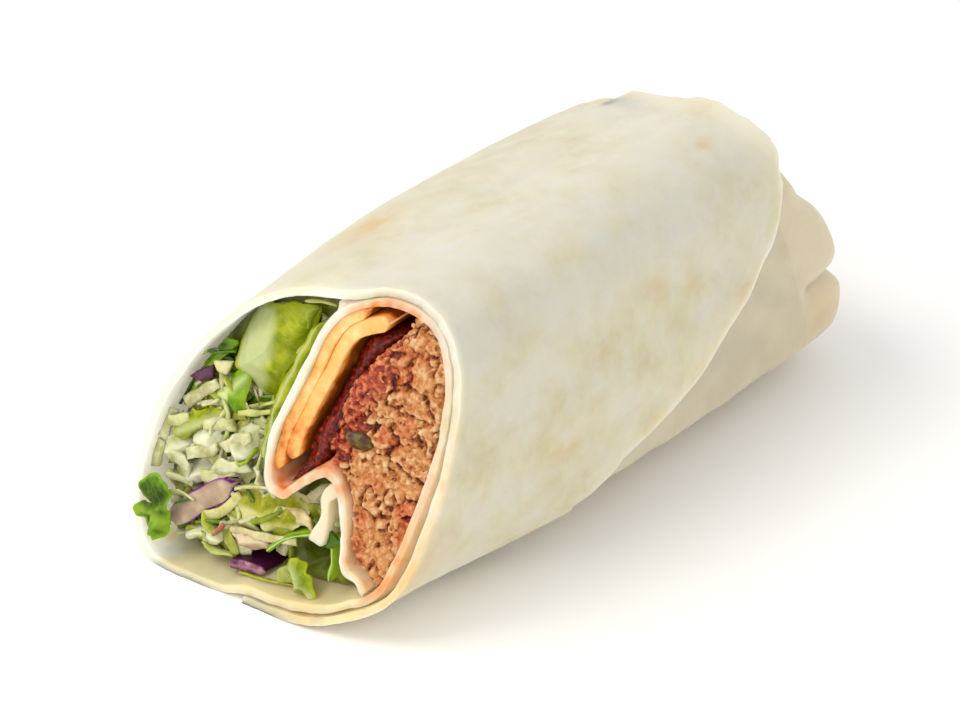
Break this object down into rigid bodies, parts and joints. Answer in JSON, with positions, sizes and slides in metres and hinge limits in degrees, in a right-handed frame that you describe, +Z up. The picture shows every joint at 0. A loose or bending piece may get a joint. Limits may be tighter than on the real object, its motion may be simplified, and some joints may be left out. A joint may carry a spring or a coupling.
{
  "type": "taco meat wrap",
  "caption": "Half of a rolled flour tortilla, cut slantwise, with taco meat and cheese on one side of an inner fold and shredded salad on the other; its far end is tucked in.",
  "frame": {"origin": "centre of the footprint, on the surface that the wrap lies on", "axes": "+Z up; +Y along the roll, from the cut face at -Y to the tucked end at +Y; +X across the roll, from the salad side to the meat side"},
  "size_m": [0.0746, 0.1502, 0.0646],
  "materials": {
    "tortilla": "soft matte flour tortilla, cream white with a few toasted spots",
    "cheese": "soft orange cheese with a slight gloss",
    "green_pepper": "cooked green pepper, wet from the sauce",
    "minced_beef": "cooked minced beef in brown, moist crumbs",
    "red_sauce": "thick dark red sauce, wet",
    "romaine": "crisp dark green leaf with a soft sheen",
    "red_onion": "pale moist flesh with a purple skin edge",
    "lettuce": "crisp yellow-green leaf with a soft sheen",
    "white_cabbage": "crisp near-white cabbage, moist",
    "salad": "shredded lettuce and cabbage, moist"
  },
  "bodies": {
    "root": {"tortilla": "tortilla", "cheese_slice_back": "cheese", "cheese_slice_front": "cheese", "pepper_piece": "green_pepper", "taco_meat": "minced_beef", "red_sauce": "red_sauce", "romaine_leaf_left": "romaine", "red_onion_strip_large": "red_onion", "lettuce_strip_divider": "lettuce", "lettuce_leaf_curled": "lettuce", "romaine_leaf_upper": "romaine", "romaine_leaf_wedge": "romaine", "lettuce_leaf_middle": "lettuce", "cabbage_piece_middle": "white_cabbage", "cabbage_piece_right": "white_cabbage", "cabbage_piece_left": "white_cabbage", "cabbage_piece_lower": "white_cabbage", "lettuce_leaf_lower": "lettuce", "red_onion_piece_middle": "red_onion", "romaine_leaf_hollow": "romaine", "lettuce_rib_lower": "lettuce", "lettuce_rib_left": "lettuce", "red_onion_piece_lower": "red_onion", "salad_heap": "salad"}
  },
  "joints": []
}
